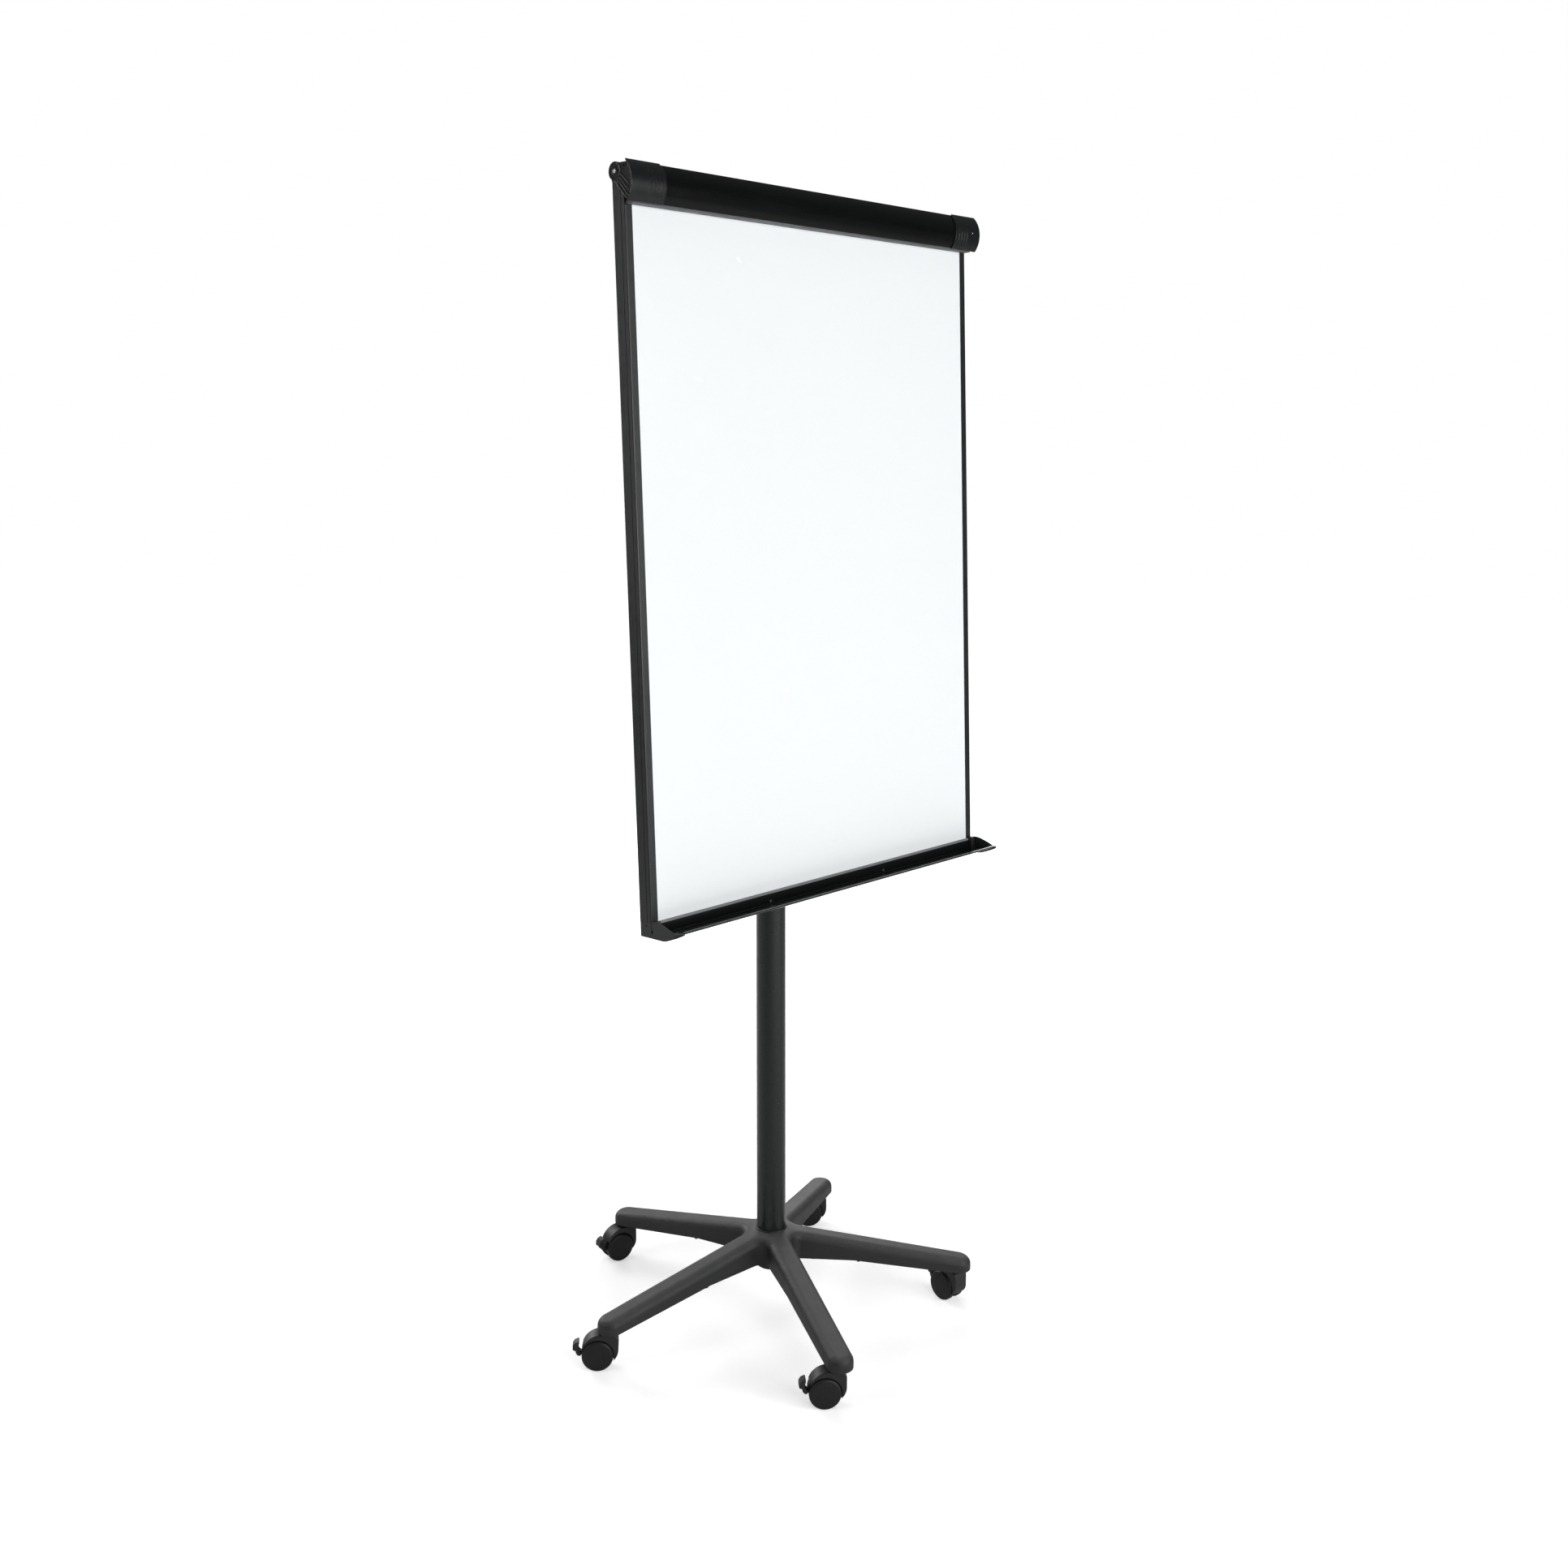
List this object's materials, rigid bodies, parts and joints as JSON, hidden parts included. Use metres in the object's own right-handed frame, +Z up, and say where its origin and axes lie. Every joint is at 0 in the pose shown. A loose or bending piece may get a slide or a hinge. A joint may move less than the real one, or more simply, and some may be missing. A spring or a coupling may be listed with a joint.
{
  "type": "mobile whiteboard",
  "caption": "Portrait magnetic whiteboard with hinged paper clamp bar and pen tray on a height-adjustable column with a star base on castors",
  "frame": {"origin": "on the floor under the column's axis", "axes": "+Z up along the column; the board faces -Y and its width runs along X; the board leans back 2.03 degrees"},
  "size_m": [0.724, 0.6136, 1.7353],
  "materials": {
    "base_plastic": "satin, fine moulded grain",
    "castor_plastic": "satin, fine moulded grain",
    "wheel_plastic": "matt",
    "column_paint": "satin powder coat",
    "inner_tube_chrome": "polished",
    "frame_paint": "satin, slightly metallic",
    "white_enamel": "gloss white lacquer on steel sheet",
    "core_board": "light grey laminated backing board",
    "tray_gloss": "semi-gloss",
    "end_plastic": "satin moulded",
    "clamp_gloss": "gloss",
    "grip_plastic": "satin moulded",
    "lip_rubber": "matt",
    "hook_plastic": "satin",
    "fastener_steel": "zinc plated"
  },
  "bodies": {
    "base": {"base_star": "base_plastic", "hub_plug": "castor_plastic", "castor_stems": "fastener_steel", "outer_column": "column_paint", "column_foot_ring": "castor_plastic", "height_collar": "end_plastic"},
    "board_carriage": {"inner_column": "inner_tube_chrome", "guide_bush": "castor_plastic", "column_cap": "end_plastic", "column_brackets": "column_paint", "writing_surface": "white_enamel", "panel_core": "core_board", "cross_rails": "frame_paint", "fixing_screws": "fastener_steel", "rail_plugs": "end_plastic", "hinge_lugs": "end_plastic", "hinge_pins": "fastener_steel", "pen_tray": "tray_gloss", "hook_rail": "end_plastic", "edge_trim_left": "frame_paint", "edge_trim_right": "frame_paint", "side_rail_left": "frame_paint", "side_rail_right": "frame_paint", "tray_cap_left": "end_plastic", "tray_cap_right": "end_plastic"},
    "clamp_bar": {"clamp_cover": "clamp_gloss", "clamp_lip": "lip_rubber", "clamp_grip_left": "grip_plastic", "clamp_grip_right": "grip_plastic", "clamp_arm_left": "grip_plastic", "clamp_arm_right": "grip_plastic"},
    "pad_hook_left": {"pad_hook_left": "hook_plastic"},
    "pad_hook_right": {"pad_hook_right": "hook_plastic"},
    "height_knob": {"height_knob": "grip_plastic", "knob_stud": "fastener_steel"},
    "castor_1": {"castor_hood_1": "castor_plastic", "castor_axle_1": "fastener_steel"},
    "castor_1_wheel_a": {"castor_wheel_1a": "wheel_plastic"},
    "castor_1_wheel_b": {"castor_wheel_1b": "wheel_plastic"},
    "castor_1_brake": {"brake_lever_1": "castor_plastic"},
    "castor_2": {"castor_hood_2": "castor_plastic", "castor_axle_2": "fastener_steel"},
    "castor_2_wheel_a": {"castor_wheel_2a": "wheel_plastic"},
    "castor_2_wheel_b": {"castor_wheel_2b": "wheel_plastic"},
    "castor_2_brake": {"brake_lever_2": "castor_plastic"},
    "castor_3": {"castor_hood_3": "castor_plastic", "castor_axle_3": "fastener_steel"},
    "castor_3_wheel_a": {"castor_wheel_3a": "wheel_plastic"},
    "castor_3_wheel_b": {"castor_wheel_3b": "wheel_plastic"},
    "castor_3_brake": {"brake_lever_3": "castor_plastic"},
    "castor_4": {"castor_hood_4": "castor_plastic", "castor_axle_4": "fastener_steel"},
    "castor_4_wheel_a": {"castor_wheel_4a": "wheel_plastic"},
    "castor_4_wheel_b": {"castor_wheel_4b": "wheel_plastic"},
    "castor_4_brake": {"brake_lever_4": "castor_plastic"},
    "castor_5": {"castor_hood_5": "castor_plastic", "castor_axle_5": "fastener_steel"},
    "castor_5_wheel_a": {"castor_wheel_5a": "wheel_plastic"},
    "castor_5_wheel_b": {"castor_wheel_5b": "wheel_plastic"},
    "castor_5_brake": {"brake_lever_5": "castor_plastic"}
  },
  "joints": [
    {"name": "height_slide", "type": "slide", "parent": "base", "child": "board_carriage", "axis": [0, 0, 1], "range_m": [-0.08, 0.2]},
    {"name": "height_knob_turn", "type": "hinge", "parent": "base", "child": "height_knob", "pos_m": [0, 0.05, 1.162], "axis": [0, 1, 0], "range_deg": [0, 270]},
    {"name": "clamp_lift", "type": "hinge", "parent": "board_carriage", "child": "clamp_bar", "pos_m": [0, -0.07238, 1.72239], "axis": [-1, 0, 0], "range_deg": [0, 75]},
    {"name": "pad_hook_left_slide", "type": "slide", "parent": "board_carriage", "child": "pad_hook_left", "axis": [-1, 0, 0], "range_m": [-0.2, 0.06]},
    {"name": "pad_hook_right_slide", "type": "slide", "parent": "board_carriage", "child": "pad_hook_right", "axis": [1, 0, 0], "range_m": [-0.2, 0.06]},
    {"name": "castor_1_swivel", "type": "hinge", "parent": "base", "child": "castor_1", "pos_m": [0.21466, -0.21243, 0.05], "axis": [0, 0, 1], "continuous": true},
    {"name": "castor_1_roll_a", "type": "hinge", "parent": "castor_1", "child": "castor_1_wheel_a", "pos_m": [0.21734, -0.19059, 0.024], "axis": [-0.9925, 0.1219, 0], "continuous": true},
    {"name": "castor_1_roll_b", "type": "hinge", "parent": "castor_1", "child": "castor_1_wheel_b", "pos_m": [0.21734, -0.19059, 0.024], "axis": [-0.9925, 0.1219, 0], "continuous": true},
    {"name": "castor_1_brake_press", "type": "hinge", "parent": "castor_1", "child": "castor_1_brake", "pos_m": [0.22068, -0.16339, 0.0248], "axis": [-0.9925, 0.1219, 0], "range_deg": [0, 28]},
    {"name": "castor_2_swivel", "type": "hinge", "parent": "base", "child": "castor_2", "pos_m": [0.26836, 0.13851, 0.05], "axis": [0, 0, 1], "continuous": true},
    {"name": "castor_2_roll_a", "type": "hinge", "parent": "castor_2", "child": "castor_2_wheel_a", "pos_m": [0.25151, 0.15265, 0.024], "axis": [-0.6428, -0.766, 0], "continuous": true},
    {"name": "castor_2_roll_b", "type": "hinge", "parent": "castor_2", "child": "castor_2_wheel_b", "pos_m": [0.25151, 0.15265, 0.024], "axis": [-0.6428, -0.766, 0], "continuous": true},
    {"name": "castor_2_brake_press", "type": "hinge", "parent": "castor_2", "child": "castor_2_brake", "pos_m": [0.23052, 0.17027, 0.0248], "axis": [-0.6428, -0.766, 0], "range_deg": [0, 28]},
    {"name": "castor_3_swivel", "type": "hinge", "parent": "base", "child": "castor_3", "pos_m": [-0.0488, 0.29803, 0.05], "axis": [0, 0, 1], "continuous": true},
    {"name": "castor_3_roll_a", "type": "hinge", "parent": "castor_3", "child": "castor_3_wheel_a", "pos_m": [-0.0704, 0.30223, 0.024], "axis": [-0.1908, -0.9816, 0], "continuous": true},
    {"name": "castor_3_roll_b", "type": "hinge", "parent": "castor_3", "child": "castor_3_wheel_b", "pos_m": [-0.0704, 0.30223, 0.024], "axis": [-0.1908, -0.9816, 0], "continuous": true},
    {"name": "castor_3_brake_press", "type": "hinge", "parent": "castor_3", "child": "castor_3_brake", "pos_m": [-0.0973, 0.30746, 0.0248], "axis": [-0.1908, -0.9816, 0], "range_deg": [0, 28]},
    {"name": "castor_4_swivel", "type": "hinge", "parent": "base", "child": "castor_4", "pos_m": [-0.29853, 0.04568, 0.05], "axis": [0, 0, 1], "continuous": true},
    {"name": "castor_4_roll_a", "type": "hinge", "parent": "castor_4", "child": "castor_4_wheel_a", "pos_m": [-0.31487, 0.0604, 0.024], "axis": [-0.6691, -0.7431, 0], "continuous": true},
    {"name": "castor_4_roll_b", "type": "hinge", "parent": "castor_4", "child": "castor_4_wheel_b", "pos_m": [-0.31487, 0.0604, 0.024], "axis": [-0.6691, -0.7431, 0], "continuous": true},
    {"name": "castor_4_brake_press", "type": "hinge", "parent": "castor_4", "child": "castor_4_brake", "pos_m": [-0.33524, 0.07874, 0.0248], "axis": [-0.6691, -0.7431, 0], "range_deg": [0, 28]},
    {"name": "castor_5_swivel", "type": "hinge", "parent": "base", "child": "castor_5", "pos_m": [-0.13569, -0.2698, 0.05], "axis": [0, 0, 1], "continuous": true},
    {"name": "castor_5_roll_a", "type": "hinge", "parent": "castor_5", "child": "castor_5_wheel_a", "pos_m": [-0.15255, -0.25566, 0.024], "axis": [-0.6428, -0.766, 0], "continuous": true},
    {"name": "castor_5_roll_b", "type": "hinge", "parent": "castor_5", "child": "castor_5_wheel_b", "pos_m": [-0.15255, -0.25566, 0.024], "axis": [-0.6428, -0.766, 0], "continuous": true},
    {"name": "castor_5_brake_press", "type": "hinge", "parent": "castor_5", "child": "castor_5_brake", "pos_m": [-0.17354, -0.23804, 0.0248], "axis": [-0.6428, -0.766, 0], "range_deg": [0, 28]}
  ]
}
